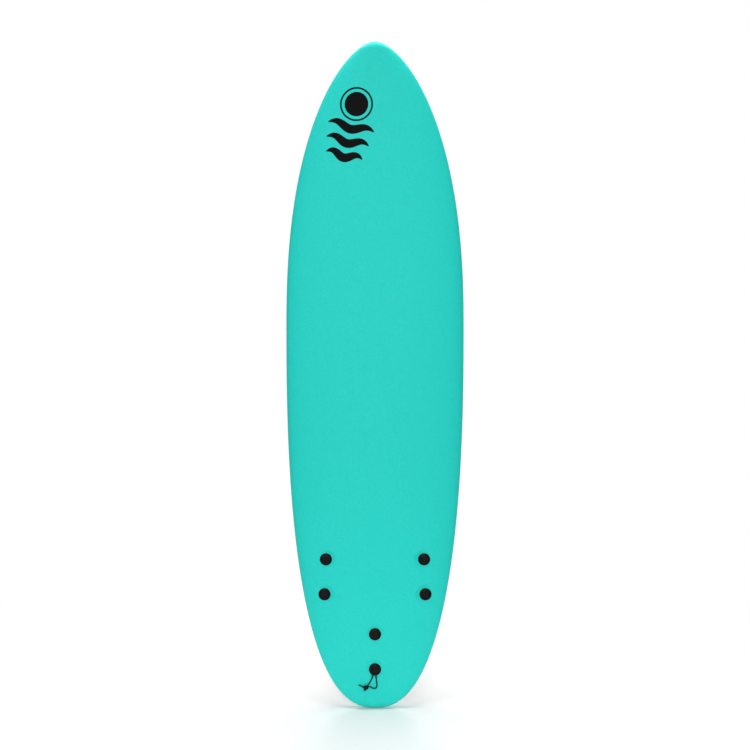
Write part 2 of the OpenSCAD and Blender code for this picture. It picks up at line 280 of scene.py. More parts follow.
def near_bolt(poly, radius):
    """The bolt within whose circle a small polygon may reach."""
    x = sum(p[0] for p in poly) / len(poly)
    y = sum(p[1] for p in poly) / len(poly)
    reach = max(math.hypot(p[0] - x, p[1] - y) for p in poly)
    for p in BOLTS.values():
        if math.hypot(p[0] - x, p[1] - y) < radius * CIRCLE_ROOM + reach:
            return p
    return None


class Patches:
    """Small polygons drawn in plan, set on a surface by its height function, and welded."""

    def __init__(self):
        self.points, self.faces, self.kinds, self.index = [], [], [], {}

    def corner(self, p, z):
        key = tuple(round(c, MERGE_DIGITS) for c in (p[0], p[1], z))
        if key not in self.index:
            self.index[key] = len(self.points)
            self.points.append((p[0], p[1], z))
        return self.index[key]

    def add(self, polys, height, kinds=None):
        """Adds polygons: height takes arrays of x and y, and kinds are material numbers."""
        flat = np.array([p for poly in polys for p in poly])
        heights = iter(height(flat[:, 0], flat[:, 1]).tolist())
        for poly, kind in zip(polys, kinds or [0] * len(polys)):
            ids = no_repeats([self.corner(p, next(heights)) for p in poly])
            if len(ids) > 2:
                self.faces.append(tuple(ids))
                self.kinds.append(kind)

    def add_wall(self, a, b, low_a, low_b, height):
        """Adds a wall of this height on the line from a to b."""
        self.faces.append((self.corner(a, low_a), self.corner(b, low_b),
                           self.corner(b, low_b + height), self.corner(a, low_a + height)))
        self.kinds.append(0)


def hole_wall(patches, centre, low, height):
    """Wall of a bolt hole, facing its axis."""
    r = HOLE_R / math.cos(math.pi / HOLE_SIDES)
    angles = [2 * math.pi * k / HOLE_SIDES for k in range(HOLE_SIDES)]
    ring = [(centre[0] + r * math.cos(a), centre[1] + r * math.sin(a)) for a in angles]
    for a, b in zip(ring, ring[1:] + ring[:1]):
        patches.add_wall(b, a, low, low, height)


# ---- Materials ----
def material(name, colour, roughness, specular=0.5):
    m = bpy.data.materials.new(name)
    m.use_nodes = True
    m.diffuse_color = (*colour, 1)
    shader = m.node_tree.nodes["Principled BSDF"]
    shader.inputs["Base Color"].default_value = (*colour, 1)
    shader.inputs["Roughness"].default_value = roughness
    shader.inputs["Specular IOR Level"].default_value = specular
    return m, shader


def tree(m):
    return m.node_tree.nodes, m.node_tree.links


def noise(m, scale, detail=3, stretch=(1, 1, 1)):
    nodes, links = tree(m)
    place = nodes.new("ShaderNodeTexCoord")
    mapping = nodes.new("ShaderNodeMapping")
    mapping.inputs["Scale"].default_value = stretch
    tex = nodes.new("ShaderNodeTexNoise")
    tex.inputs["Scale"].default_value = scale
    tex.inputs["Detail"].default_value = detail
    links.new(place.outputs["Object"], mapping.inputs["Vector"])
    links.new(mapping.outputs["Vector"], tex.inputs["Vector"])
    return tex.outputs["Fac"]


def cells(m, scale):
    nodes, links = tree(m)
    place = nodes.new("ShaderNodeTexCoord")
    tex = nodes.new("ShaderNodeTexVoronoi")
    tex.inputs["Scale"].default_value = scale
    links.new(place.outputs["Object"], tex.inputs["Vector"])
    return tex.outputs["Distance"]


def blend_colours(m, shader, factor, low, high, lo=0.35, hi=0.65):
    nodes, links = tree(m)
    ramp = nodes.new("ShaderNodeValToRGB")
    ramp.color_ramp.elements[0].position = lo
    ramp.color_ramp.elements[0].color = (*low, 1)
    ramp.color_ramp.elements[1].position = hi
    ramp.color_ramp.elements[1].color = (*high, 1)
    links.new(factor, ramp.inputs["Fac"])
    links.new(ramp.outputs["Color"], shader.inputs["Base Color"])


def vary_roughness(m, shader, factor, low, high):
    nodes, links = tree(m)
    span = nodes.new("ShaderNodeMapRange")
    span.inputs["From Min"].default_value = 0.3
    span.inputs["From Max"].default_value = 0.7
    span.inputs["To Min"].default_value = low
    span.inputs["To Max"].default_value = high
    links.new(factor, span.inputs["Value"])
    links.new(span.outputs["Result"], shader.inputs["Roughness"])


def bump(m, shader, height, distance, strength=1.0, under=None):
    nodes, links = tree(m)
    node = nodes.new("ShaderNodeBump")
    node.inputs["Distance"].default_value = distance
    node.inputs["Strength"].default_value = strength
    links.new(height, node.inputs["Height"])
    if under is not None:
        links.new(under, node.inputs["Normal"])
    links.new(node.outputs["Normal"], shader.inputs["Normal"])
    return node.outputs["Normal"]


def foam_skin_material():
    """Cross-linked foam sheet: matt, with fine pores over a slightly uneven surface."""
    m, shader = material("foam_skin", (0.012, 0.655, 0.575), 0.62, 0.28)
    blend_colours(m, shader, noise(m, 170, 6), (0.010, 0.636, 0.556), (0.014, 0.672, 0.592))
    vary_roughness(m, shader, noise(m, 60, 2), 0.55, 0.70)
    uneven = bump(m, shader, noise(m, 14, 2), 0.0012, 0.35)
    pores = bump(m, shader, cells(m, 700), 0.0005, 0.7, uneven)
    bump(m, shader, noise(m, 380, 4), 0.0009, 0.7, pores)
    return m


def film_material(name, low, high, specular):
    """Slick printed film, with the faint ripple of a sheet laid over foam."""
    m, shader = material(name, high, 0.42, specular)
    blend_colours(m, shader, noise(m, 22, 3), low, high)
    vary_roughness(m, shader, noise(m, 90, 3), 0.36, 0.50)
    ripple = bump(m, shader, noise(m, 38, 2), 0.0006, 0.25)
    bump(m, shader, noise(m, 700, 2), 0.00005, 0.35, ripple)
    return m


def moulded_material(name, colour, low, high, grain=1500, depth=0.00004):
    """Moulded black plastic with a fine spark-eroded grain and light wear."""
    m, shader = material(name, colour, low, 0.11)
    lighter = tuple(c * 1.5 + 0.001 for c in colour)
    blend_colours(m, shader, noise(m, 55, 4), colour, lighter, 0.4, 0.8)
    vary_roughness(m, shader, noise(m, 120, 4, (1, 1, 0.3)), low, high)
    flow = bump(m, shader, noise(m, 30, 1, (1, 1, 0.5)), 0.0002, 0.06)
    bump(m, shader, noise(m, grain, 2), depth, 0.5, flow)
    return m


def bead_foam_material():
    m, shader = material("bead_foam", (0.85, 0.85, 0.82), 0.8, 0.3)
    blend_colours(m, shader, cells(m, 260), (0.70, 0.70, 0.67), (0.88, 0.88, 0.85), 0.1, 0.5)
    bump(m, shader, cells(m, 260), 0.0008, 0.5)
    return m


def wood_material():
    m, shader = material("stringer_wood", (0.55, 0.36, 0.18), 0.6, 0.3)
    grain = noise(m, 90, 5, (8, 8, 0.4))
    blend_colours(m, shader, grain, (0.42, 0.25, 0.11), (0.66, 0.46, 0.25))
    bump(m, shader, grain, 0.0004, 0.4)
    return m


def brass_material():
    m, shader = material("brass", (0.72, 0.52, 0.22), 0.3, 0.5)
    shader.inputs["Metallic"].default_value = 1
    blend_colours(m, shader, noise(m, 160, 3), (0.62, 0.43, 0.17), (0.78, 0.58, 0.27))
    vary_roughness(m, shader, noise(m, 300, 3), 0.22, 0.42)
    bump(m, shader, noise(m, 900, 2), 0.00005, 0.4)
    return m


def sleeve_material():
    m, shader = material("sleeve_plastic", (0.62, 0.63, 0.60), 0.45, 0.4)
    blend_colours(m, shader, noise(m, 80, 3), (0.55, 0.56, 0.53), (0.68, 0.69, 0.66))
    bump(m, shader, noise(m, 600, 2), 0.0001, 0.4)
    return m


def cord_material():
    m, shader = material("string_nylon", (0.006, 0.006, 0.007), 0.55, 0.15)
    fibre = noise(m, 2600, 3)
    blend_colours(m, shader, fibre, (0.003, 0.003, 0.003), (0.014, 0.014, 0.015))
    bump(m, shader, fibre, 0.00012, 0.6)
    return m


def ink_material():
    m, shader = material("print_ink", (0.004, 0.004, 0.004), 0.7, 0.06)
    blend_colours(m, shader, noise(m, 240, 4), (0.003, 0.003, 0.003), (0.007, 0.006, 0.007))
    bump(m, shader, noise(m, 420, 4), 0.00015, 0.5)
    return m


# ---- Leash string ----
# Points from the rear centre bolt's axis: right, towards the nose, above the deck, in mm.
# Both routes start beside the sleeve.
SUNK = -4.9
ROUTE_A = [(0, 10.4, SUNK), (-7.4, 7.4, SUNK), (-10.4, 0, SUNK), (-9.5, -6, SUNK),
           (-8, -13, SUNK), (-7, -20.5, SUNK), (-8, -25, -1.5), (-10.5, -30, 1.9),
           (-14, -36.5, 2), (-18, -43.5, 2), (-23, -50, 3.2), (-27, -54, 6.4), (-32, -57, 9),
           (-38, -56, 6), (-44, -53, 2.4), (-53, -50, 2.1)]
ROUTE_B = [(0, 10.4, SUNK), (7.4, 7.4, SUNK), (10.4, 0, SUNK), (8.5, -6, SUNK),
           (5, -13, SUNK), (3, -20.5, SUNK), (3.2, -25, -1.5), (4, -30, 1.9),
           (5.5, -40.5, 2), (6.5, -49, 2), (5.5, -55.5, 2), (1, -59.8, 2), (-7, -59.3, 2),
           (-15.5, -55, 2), (-22, -54.5, 3.4), (-28, -57, 5.8), (-32, -61.5, 4.6),
           (-33, -68, 2.1)]
KNOT_AT = (-30.5, -56.5, 7.7)
KNOT_TURN = math.radians(30)
KNOT_WRAPS = 3.4
KNOT_LONG = 13.6 * MM
KNOT_R = 5.6 * MM
KNOT_TAPER = 0.16
# The braid: its rings, its pitch, its least radius and rise as shares of the string's radius
TUBE_SIDES = 24
RING_STEP = 0.35 * MM
BRAID_PITCH = 9 * MM
BRAID_LOW, BRAID_RISE = 0.90, 0.12
END_GAP = 0.05 * MM
OFF_AXIS = (0.31, 0.22, 0.925)  # no string runs this way


def on_deck(q):
    x0, y0 = BOLTS[(0, -1)]
    x, y = x0 + q[0] * MM, y0 + q[1] * MM
    return np.array([x, y, float(deck_z(x, y)) + q[2] * MM])


def smooth_path(points, steps):
    """Catmull-Rom curve through the points."""
    p = [2 * points[0] - points[1], *points, 2 * points[-1] - points[-2]]
    out = []
    for k in range(1, len(p) - 2):
        for t in np.linspace(0, 1, steps, endpoint=False):
            out.append(0.5 * (2 * p[k] + (p[k + 1] - p[k - 1]) * t
                              + (2 * p[k - 1] - 5 * p[k] + 4 * p[k + 1] - p[k + 2]) * t ** 2
                              + (3 * p[k] - p[k - 1] - 3 * p[k + 1] + p[k + 2]) * t ** 3))
    return np.array(out + [points[-1]])


def braid_radius(along, angle, radius):
    """Radius of a string with strands that cross, and with its far end melted round."""
    turn = 2 * math.pi * along[:, None] / BRAID_PITCH
    weave = np.abs(np.sin(2 * angle + turn)) * 0.5 + np.abs(np.sin(2 * angle - turn)) * 0.5
    left = np.minimum(1, (along[-1] - along + END_GAP)[:, None] / radius)
    return radius * (BRAID_LOW + BRAID_RISE * weave) * np.sqrt(1 - (1 - left) ** 2)


def tube_faces(rings):
    """Sides and end fans of a tube whose two end points come after its rings."""
    faces = grid_faces(rings, TUBE_SIDES, closed=True)
    start = rings * TUBE_SIDES
    last = start - TUBE_SIDES
    for k in range(TUBE_SIDES):
        j = (k + 1) % TUBE_SIDES
        faces += [(start, j, k), (start + 1, last + k, last + j)]
    return faces


def braided_tube(path, radius):
    """A tube with the raised crossing strands of a braid, along a path of points."""
    steps = np.linalg.norm(np.diff(path, axis=0), axis=1)
    run = np.concatenate([[0], np.cumsum(steps)])
    even = np.arange(0, run[-1], RING_STEP)
    line = np.stack([np.interp(even, run, path[:, c]) for c in range(3)], 1)
    tangent = np.gradient(line, axis=0)
    tangent /= np.linalg.norm(tangent, axis=1)[:, None]
    across = np.cross(tangent, OFF_AXIS)
    across /= np.linalg.norm(across, axis=1)[:, None]
    up = np.cross(across, tangent)
    angle = np.linspace(0, 2 * math.pi, TUBE_SIDES, endpoint=False)[None, :]
    out = (np.cos(angle)[..., None] * across[:, None, :]
           + np.sin(angle)[..., None] * up[:, None, :])
    rings = line[:, None, :] + braid_radius(even, angle, radius)[..., None] * out
    points = np.concatenate([rings.reshape(-1, 3), line[:1], line[-1:]])
    return points, tube_faces(len(line))


def knot_path():
    """Wraps side by side, as in a double overhand knot pulled tight."""
    at = on_deck(KNOT_AT)
    along = np.array([math.cos(KNOT_TURN), math.sin(KNOT_TURN), 0])
    side = np.array([-math.sin(KNOT_TURN), math.cos(KNOT_TURN), 0])
    up = np.array([0, 0, 1])
    out = []
    for t in np.linspace(-1, 1, 140):
        a = math.pi * KNOT_WRAPS * t
        r = KNOT_R * (1 - KNOT_TAPER * t ** 2)
        out.append(at + along * KNOT_LONG / 2 * t + (side * math.cos(a) + up * math.sin(a)) * r)
    return np.array(out)


def make_leash(cord):
    points, faces = braided_tube(knot_path(), STRING_R)
    knot = mesh_piece("leash_knot_wraps", stand(points), faces, [cord], "board",
                      sharp=60, nodes=("leash_knot",))
    for name, route, extra in (("a", ROUTE_A, [knot]), ("b", ROUTE_B, [])):
        path = smooth_path([on_deck(q) for q in route], 8)
        points, faces = braided_tube(path, STRING_R)
        strand = mesh_piece("leash_strand_" + name, stand(points), faces, [cord], "board",
                            sharp=60, nodes=("leash_string_" + name,))


# ---- Board skins ----
# The foam round a washer is flat to DIP_FROM from the bolt's axis and at its full height
# DIP_WIDE further out. Where no washer covers it, it goes down by DIP_MOST at most.
DIP_FROM = 20.9 * MM
DIP_WIDE = 12 * MM
DIP_MOST = 4.5 * MM
UNDER_RIM = 0.05 * MM
# The dent under the string, and half the size of the area that holds it
DENT_GAP = 0.15 * MM
DENT_SLOPE = 1.4
DENT_AREA = (70 * MM, 60 * MM)
DENT_BACK = 30 * MM
# Rows of the deck's mesh: all along it, and closer ones near the bolts and the string
ROWS = 230
FINE_REACH = 36 * MM
STRING_ROWS = (55 * MM, 112 * MM)
FINE_STEP, LEAST_STEP = 2.2 * MM, 1.2 * MM
TIP_SHARE = 0.002
RAIL_STEPS, INNER_STEPS = 10, 4
INNER_COLS = 15
HOLE_WALL = 2.2 * MM


def dent_z(x, y):
    """Height that the foam is pushed down to under the string."""
    low = np.full(np.shape(x), np.inf)
    for route in (ROUTE_A, ROUTE_B):
        for p in smooth_path([on_deck(q) for q in route], 3):
            beside = np.maximum(0, np.hypot(x - p[0], y - p[1]) - STRING_R)
            low = np.minimum(low, p[2] - STRING_R - DENT_GAP + beside * DENT_SLOPE)
    return low


def near_string(x, y):
    x0, y0 = BOLTS[(0, -1)]
    return (np.abs(x - x0) < DENT_AREA[0]) & (np.abs(y - y0 + DENT_BACK) < DENT_AREA[1])


def foam_seat(p):
    """Height of the foam under the washer at bolt p."""
    return seat_z(p) - WASHER_GAP


def smooth_step(t):
    t = np.clip(t, 0, 1)
    return t * t * (3 - 2 * t)


def pressed(x, y, z):
    """The deck, pulled down round each washer and dented by the string."""
    deepest = z - DIP_MOST
    for p in BOLTS.values():
        r = np.hypot(x - p[0], y - p[1])
        flat = foam_seat(p)
        z = flat + (z - flat) * smooth_step((r - DIP_FROM) / DIP_WIDE)
        z = np.where(r > RIM_R - UNDER_RIM, np.maximum(z, deepest), z)
    return np.where(near_string(x, y), np.minimum(z, dent_z(x, y)), z)


def pressed_deck_z(x, y):
    return pressed(x, y, deck_z(x, y))


def row_shares():
    """Where the rows of the deck's mesh lie, as shares of its length."""
    base = (1 - np.cos(np.linspace(0, math.pi, ROWS))) / 2
    spans = [(p[1] - FINE_REACH, p[1] + FINE_REACH) for p in BOLTS.values()] + [STRING_ROWS]
    extra = [np.arange(a, b, FINE_STEP) / LENGTH for a, b in spans]
    shares = np.unique(np.concatenate([base, *extra]))
    keep = [0]
    for k in range(1, len(shares)):
        close = shares[k] - shares[keep[-1]] < LEAST_STEP / LENGTH
        if not close or min(shares[k], 1 - shares[k]) < TIP_SHARE:
            keep.append(k)
    return shares[keep]


def column_shares():
    """Where its columns lie, as shares of the half width: closer near the bolts."""
    rail = np.cos(np.radians(np.arange(0, 36, 3))) ** (2 / DOME_X)
    over_fins = np.arange(0.80, 0.52, -0.0105)
    between = np.arange(0.51, 0.24, -0.03)
    middle = np.arange(0.24, 0.001, -0.0155)
    u = np.concatenate([rail, over_fins, between, middle, [0]])
    u = np.unique(np.round(u, 4))[::-1]
    return np.concatenate([-u, u[-2::-1]])


def rail_lines(s, d, lift, steps):
    """Lines of the rail, from the wrapped edge round to just under the widest line."""
    edge = RAIL_TUCK + RAIL_WRAP
    lines = []
    wrap = (0.0, 0.5) if d == 0 else (0.0,)
    for t in wrap:
        inset = edge + (d + RAIL_TUCK - edge) * t
        y = line_y(s, inset)
        lines.append((line_w(s, inset), y, bottom_z(y) + lift))
    for a in np.radians(np.linspace(0, 90, steps, endpoint=False)):
        inset = d + RAIL_TUCK * (1 - math.sin(a))
        y = line_y(s, inset)
        low = bottom_z(y) + lift
        lines.append((line_w(s, inset), y, low + (apex_z(y) - low) * (1 - math.cos(a))))
    return lines


def skin_side(s, d, lift, columns, steps):
    """The outer or inner side of the deck skin, and how many points of a row are one rail's.

    Every row runs from one wrapped edge over the deck to the other."""
    rail = rail_lines(s, d, lift, steps)
    y = line_y(s, d)
    between_tips = s * (1 - s) > 1e-9
    rise = np.maximum(LEAST_RISE, deck_rise(y) - d) * between_tips
    deck = [(line_w(s, d) * u, y, apex_z(y) + rise * dome(u)) for u in columns]
    left = [(-x, y, z) for x, y, z in rail]
    return np.stack([np.stack(c, -1) for c in left + deck + rail[::-1]], 1), len(rail)


def add_outer_side(patches, outer, rail):
    """Adds the outer side, cut along each washer's rim and open at each bolt hole."""
    rows, cols = outer.shape[:2]
    patches.points = [tuple(p) for p in outer.reshape(-1, 3)]
    pieces = []
    for f in grid_faces(rows, cols):
        poly = [patches.points[k][:2] for k in f]
        bolt = near_bolt(poly, RIM_R) if rail <= f[0] % cols < cols - rail - 1 else None
        if bolt is None:
            patches.faces.append(f)
            continue
        parts, rest = split_by_circle(poly, bolt, RIM_R)
        pieces += parts
        if len(rest) > 2:
            pieces += split_by_circle(rest, bolt, HOLE_R)[0]
    patches.add(pieces, pressed_deck_z)
    for p in BOLTS.values():
        hole_wall(patches, p, foam_seat(p) - HOLE_WALL, HOLE_WALL)


def add_inner_side(patches, inner, outer_cols):
    """Adds the inner side, open at the bolt holes, and joins it to the outer one's edges."""
    rows, cols = inner.shape[:2]
    start = len(patches.points)
    patches.points += [tuple(p) for p in inner.reshape(-1, 3)]
    for f in grid_faces(rows, cols, start=start):
        if near_bolt([patches.points[k][:2] for k in f], HOLE_R) is None:
            patches.faces.append(f[::-1])
    for i in range(rows - 1):
        a, b = i * outer_cols, start + i * cols
        a_end, b_end = a + outer_cols - 1, b + cols - 1
        patches.faces += [(a, a + outer_cols, b + cols, b),
                          (b_end, b_end + cols, a_end + outer_cols, a_end)]


def make_deck_skin(foam):
    s = row_shares()
    outer, rail = skin_side(s, 0, 0, column_shares(), RAIL_STEPS)
    outer[..., 2] = pressed(outer[..., 0], outer[..., 1], outer[..., 2])
    columns = np.linspace(-1, 1, INNER_COLS)
    inner = skin_side(s, DECK_SKIN, BOTTOM_SKIN, columns, INNER_STEPS)[0]
    patches = Patches()
    add_outer_side(patches, outer, rail)
    add_inner_side(patches, inner, outer.shape[1])
    points, faces = weld(patches.points, patches.faces, 6)[:2]
    mesh_piece("deck_foam_skin", stand(points), faces, [foam], "board", sharp=50,
               nodes=("deck_skin",))


# Printed stripes of the bottom. A stripe runs level across the middle, slants across each
# side, and runs level again at the rails. In the middle and at the rails its height follows
# two waves of the same length, one a little behind the other.
STRIPE_PITCH = 26.5 * MM
WAVE_LENGTH = 234 * MM
WAVE_SWING = 20.3 * MM
WAVE_LAG = 0.83 * math.pi
STRIPE_MIDDLE = -25 * MM
LEVEL_HALF = 85 * MM
BEND_TO = 232 * MM
BORDER = 7 * MM
WHITE_SHARE = 0.42
STRIPE_COLS = 127
SPARE_EDGES = 6  # so many edges past each tip, which the wave may bring onto the board
OUTLINE_ROWS = 260


def stripe_y(v, x):
    side = np.clip((np.abs(x - STRIPE_MIDDLE) - LEVEL_HALF) / (BEND_TO - LEVEL_HALF), 0, 1)
    phase = 2 * math.pi * v / WAVE_LENGTH
    return v + WAVE_SWING * ((1 - side) * np.sin(phase) + side * np.sin(phase - WAVE_LAG))


def stripe_edge(k):
    """Phase of edge k: a white stripe runs from an even edge to the next, then a black one."""
    return (k // 2 + k % 2 * WHITE_SHARE) * STRIPE_PITCH


def outline(inset):
    """Plan outline at an inset from the board's edge, right side from tail to nose, then left."""
    s = (1 - np.cos(np.linspace(0, math.pi, OUTLINE_ROWS))) / 2
    right = [(float(line_w(k, inset)), float(line_y(k, inset))) for k in s]
    left = [(-x, y) for x, y in right[-2:0:-1]]
    return right + left


def clipped(poly, ring):
    """A small polygon cut by the sides of a convex outline that pass near it."""
    low = min(p[1] for p in poly) - 2 * MM
    high = max(p[1] for p in poly) + 2 * MM
    if high < min(p[1] for p in ring) or low > max(p[1] for p in ring):
        return []
    for a, b in zip(ring, ring[1:] + ring[:1]):
        if max(a[1], b[1]) < low or min(a[1], b[1]) > high:
            continue
        poly = keep_side(poly, a, (a[1] - b[1], b[0] - a[0]))
        if len(poly) < 3:
            return []
    return poly


def film_z(x, y):
    return bottom_z(y)


def add_film(patches, film):
    """Adds (polygon, kind) pairs of the bottom film, with the bolt holes cut out of them."""
    pieces, kinds = [], []
    for poly, kind in film:
        bolt = near_bolt(poly, HOLE_R)
        parts = [poly] if bolt is None else split_by_circle(poly, bolt, HOLE_R)[0]
        pieces += [part[::-1] for part in parts]
        kinds += [kind] * len(parts)
    patches.add(pieces, film_z, kinds)


def stripe_cells(ring):
    """Quads of the stripe field, cut to its outline: (polygon, 0 for white or 1 for black)."""
    right = [p for p in ring if p[0] > 0]
    ring_x, ring_y = [p[0] for p in right], [p[1] for p in right]
    xs = np.linspace(-max(ring_x), max(ring_x), STRIPE_COLS)
    for k in range(-SPARE_EDGES, 2 * int(LENGTH / STRIPE_PITCH) + SPARE_EDGES):
        lows = stripe_y(stripe_edge(k), xs)
        highs = stripe_y(stripe_edge(k + 1), xs)
        room = np.minimum(np.interp(lows, ring_y, ring_x, left=-1, right=-1),
                          np.interp(highs, ring_y, ring_x, left=-1, right=-1))
        for j in range(len(xs) - 1):
            poly = [(xs[j], lows[j]), (xs[j + 1], lows[j + 1]),
                    (xs[j + 1], highs[j + 1]), (xs[j], highs[j])]
            if max(abs(xs[j]), abs(xs[j + 1])) > min(room[j], room[j + 1]) - 2 * MM:
                poly = clipped(poly, ring)
            if len(poly) > 2 and abs(area(poly)) > STRIPE_SPECK:
                yield [(float(p[0]), float(p[1])) for p in poly], k % 2


def make_bottom_skin(white, black):
    edge = RAIL_TUCK + RAIL_WRAP + GLUE
    rim, ring = outline(edge), outline(edge + BORDER)
    around = list(zip(rim, ring, rim[1:] + rim[:1], ring[1:] + ring[:1]))
    patches = Patches()
    add_film(patches, [*stripe_cells(ring), *(([d, a, b, c], 0) for a, d, b, c in around)])
    for a, b in zip(rim, rim[1:] + rim[:1]):
        patches.add_wall(a, b, float(bottom_z(a[1])), float(bottom_z(b[1])), BOTTOM_SKIN)
    for p in BOLTS.values():
        hole_wall(patches, p, float(bottom_z(p[1])), BOTTOM_SKIN)
    mesh_piece("bottom_film", stand(patches.points), patches.faces, [white, black], "board",
               kinds=patches.kinds, sharp=30, nodes=("bottom_skin",))


# ---- Fixings ----
def lathe(profile, segments=96):
    """Closed profile of (radius, height), turned round z."""
    points, faces, n = [], [], len(profile)
    for k in range(segments):
        a = 2 * math.pi * k / segments
        points += [(r * math.cos(a), r * math.sin(a), z) for r, z in profile]
    for k in range(segments):
        m = (k + 1) % segments
        for j in range(n):
            i = (j + 1) % n
            faces.append((k * n + j, m * n + j, m * n + i, k * n + i))
    return np.array(points), faces


def rounded(profile, radius, steps=4):
    """The profile with each corner rounded, as far as its neighbours leave room."""
    out, n = [], len(profile)
    for k in range(n):
        p, a, b = (np.array(profile[i % n], float) for i in (k, k - 1, k + 1))
        da, db = a - p, b - p
        la, lb = np.linalg.norm(da), np.linalg.norm(db)
        cut = min(radius, 0.45 * la, 0.45 * lb)
        if p[0] < 1e-9:
            out.append(tuple(p))
            continue
        start, stop = p + da / la * cut, p + db / lb * cut
        for t in np.linspace(0, 1, steps):
            q = (1 - t) ** 2 * start + 2 * t * (1 - t) * p + t ** 2 * stop
            out.append((q[0], q[1]))
    return out


def washer_profile():
    r, well, hole = WASHER_R / MM, HEAD_R / MM + 0.4, SHANK_R / MM + 0.2
    return [(hole, -6), (6, -6), (6, 0), (r - 0.8, 0), (r, 0.8), (r - 0.3, 1.9), (r - 1.4, 2.8),
            (r - 3, 3.2), (well + 1, 3.0), (well, 2.4), (well, 1.2), (hole, 1.2)]


def make_washer(side, end, plastic):
    name = f"washer_{side}_{end}"
    p = BOLTS[(SIDES[side], ENDS[end])]
    profile = [(a * MM, b * MM) for a, b in rounded(washer_profile(), 0.35)]
    points, faces = lathe(profile)
    points = points + [p[0], p[1], seat_z(p)]
    mesh_piece("cup_" + name, stand(points), faces, [plastic], name,
               nodes=(name,))


# Screws, in mm, except the slots' directions, which are degrees, front screw first
HEAD_T = 2.6
HEAD_UP = 1.25
SLOT_W = 2.4
SLOT_DEPTH = 1.6
SLOT_TURNS = {"left": (35, 100), "centre": (62, 20), "right": (150, 75)}
THREAD_PITCH = 1.27
THREAD_LONG = 15
END_SPARE = 0.5


def screw_profile(shank_l):
    r, s = HEAD_R / MM, SHANK_R / MM
    thread = []
    turns = int(THREAD_LONG / THREAD_PITCH)
    for k in range(turns):
        z = -shank_l + 1.0 + k * THREAD_PITCH
        thread += [(s - 0.65, z), (s - 0.02, z + 0.45), (s - 0.02, z + 0.65), (s - 0.65, z + 1.1)]
    return ([(0, -shank_l), (s - 0.8, -shank_l)] + thread
            + [(s, -shank_l + 1.6 + turns * THREAD_PITCH), (s, 0), (r, 0), (r, HEAD_T - 1),
               (r - 0.35, HEAD_T - 0.55), (r - 1, HEAD_T - 0.3), (r * 0.75, HEAD_T - 0.1),
               (r / 2, HEAD_T), (0, HEAD_T)])


def slot_box(turn):
    """Corners and faces of the box that cuts a slot across a screw's head."""
    half = SLOT_W / 2 * MM
    low = (HEAD_T - SLOT_DEPTH) * MM
    corners = [(sx * 20 * MM, sy * half, z) for z in (low, low + 5 * MM)
               for sx, sy in ((-1, -1), (1, -1), (1, 1), (-1, 1))]
    c, s = math.cos(turn), math.sin(turn)
    corners = [(x * c - y * s, x * s + y * c, z) for x, y, z in corners]
    return corners, [(3, 2, 1, 0), (4, 5, 6, 7), (0, 1, 5, 4), (1, 2, 6, 5), (2, 3, 7, 6),
                     (3, 0, 4, 7)]


def slotted(points, faces, turn):
    """Points and faces of a screw with a coin slot cut across its head, in its own axes."""
    blank = new_object("screw_blank", points, faces)
    cutter = new_object("slot_cutter", *slot_box(turn))
    cut = blank.modifiers.new("slot", "BOOLEAN")
    cut.object, cut.operation, cut.solver = cutter, "DIFFERENCE", "EXACT"
    bpy.context.view_layer.update()
    mesh = bpy.data.meshes.new_from_object(
        blank.evaluated_get(bpy.context.evaluated_depsgraph_get()))
    bpy.data.objects.remove(cutter)
    bpy.data.objects.remove(blank)
    return np.array([v.co[:] for v in mesh.vertices]), [tuple(f.vertices) for f in mesh.polygons]


def make_screw(side, end, plastic):
    name = f"screw_{side}_{end}"
    p = BOLTS[(SIDES[side], ENDS[end])]
    under_head = seat_z(p) + HEAD_UP * MM
    bore_floor = fin_plane_z(SIDES[side], p[1]) + BORE_FLOOR * MM
    shank_l = (under_head - bore_floor) / MM - END_SPARE
    points, faces = lathe([(a * MM, b * MM) for a, b in screw_profile(shank_l)], 72)
    points, faces = weld(points, faces, 8)[:2]
    turn = math.radians(SLOT_TURNS[side][0 if end == "front" else 1])
    points, faces = slotted(points, faces, turn)
    mesh_piece("fin_" + name, stand(points + [p[0], p[1], under_head]), faces, [plastic], name,
               sharp=28, nodes=(name,))


# ---- Fins ----
# Blade outline: forward of the posts' middle, and depth below the base, in mm
LEAD_ROOT = ((69, 0), (40, 62), (-20, 133), (-80, 133))
LEAD_TIP = ((-80, 133), (-104, 133), (-122, 124), (-122, 113))
TRAIL_ROOT = ((-63, 0), (-50, 20), (-48, 50), (-80, 77))
TRAIL_TIP = ((-80, 77), (-95, 90), (-122, 100), (-122, 113))
PLATE_ENDS = (-86, 76)
PLATE_R = 19
PLATE_MIDDLE = 5  # depth of the point that closes the blade off inside the plate
ROOT_T, TIP_T = 9, 3.4
# Rows of the flared base: share of the base plate's shape left, and depth of the plate's row.
# Each takes FLARE_STEP of the blade's height, and BLADE_ROWS rows make the rest of it.
FLARE = ((1, 0), (1, 2.2), (0.93, 3.2), (0.55, 5), (0.28, 8), (0.1, 12), (0, 12))
FLARE_STEP = 0.02
FLARE_TOP = FLARE_STEP * (len(FLARE) - 1)
BLADE_ROWS = 63
CHORD = 44
# Posts, in mm from the plate: the insert ends INSERT_SUNK below the post's open end
POST_TOP = 24
POST_START = -1.5
POST_R, BORE_R = 6, 4.5
INSERT_L = 15
INSERT_SUNK = 1
BORE_FLOOR = POST_TOP - INSERT_L - INSERT_SUNK


def bezier(p, t):
    p = np.array(p, float)
    return ((1 - t) ** 3 * p[0] + 3 * t * (1 - t) ** 2 * p[1]
            + 3 * t * t * (1 - t) * p[2] + t ** 3 * p[3])


def two_part(a, b, v, k):
    return bezier(a, v / k) if v < k else bezier(b, (v - k) / (1 - k))


